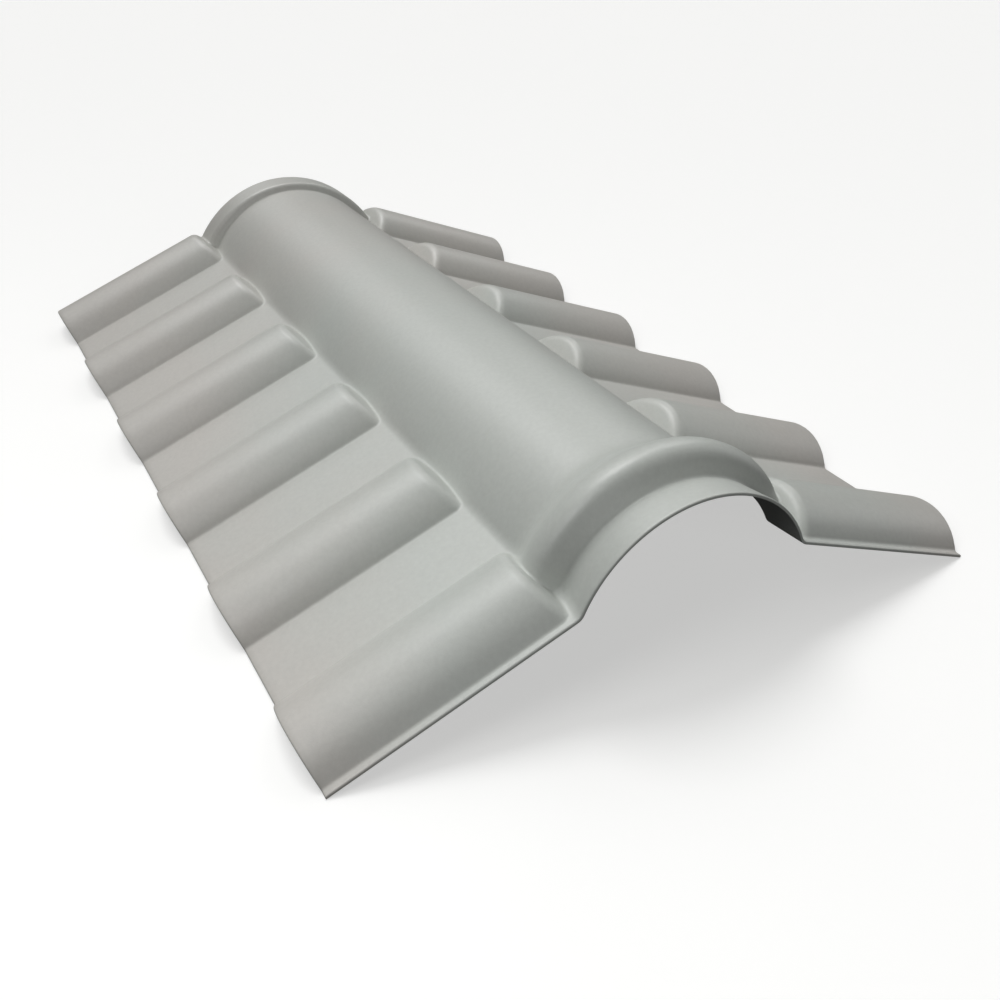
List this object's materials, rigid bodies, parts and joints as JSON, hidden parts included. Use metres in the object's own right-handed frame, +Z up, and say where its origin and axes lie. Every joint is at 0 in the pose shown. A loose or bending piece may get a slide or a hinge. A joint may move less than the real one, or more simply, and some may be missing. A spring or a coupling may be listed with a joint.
{
  "type": "roof ridge cap",
  "caption": "Moulded plastic roof ridge cap: a round barrel along the ridge between two ribbed sloping flanks, lapping the next cap with a bead and a collar.",
  "frame": {"origin": "under the middle of the cap, level with its lower edges", "axes": "+Y along the ridge from the bead end to the collar end, +Z up, +X across the ridge"},
  "size_m": [0.5936, 0.88, 0.159],
  "materials": {
    "resin": "satin, light warm grey"
  },
  "bodies": {
    "root": {"ridge_cap": "resin"}
  },
  "joints": []
}
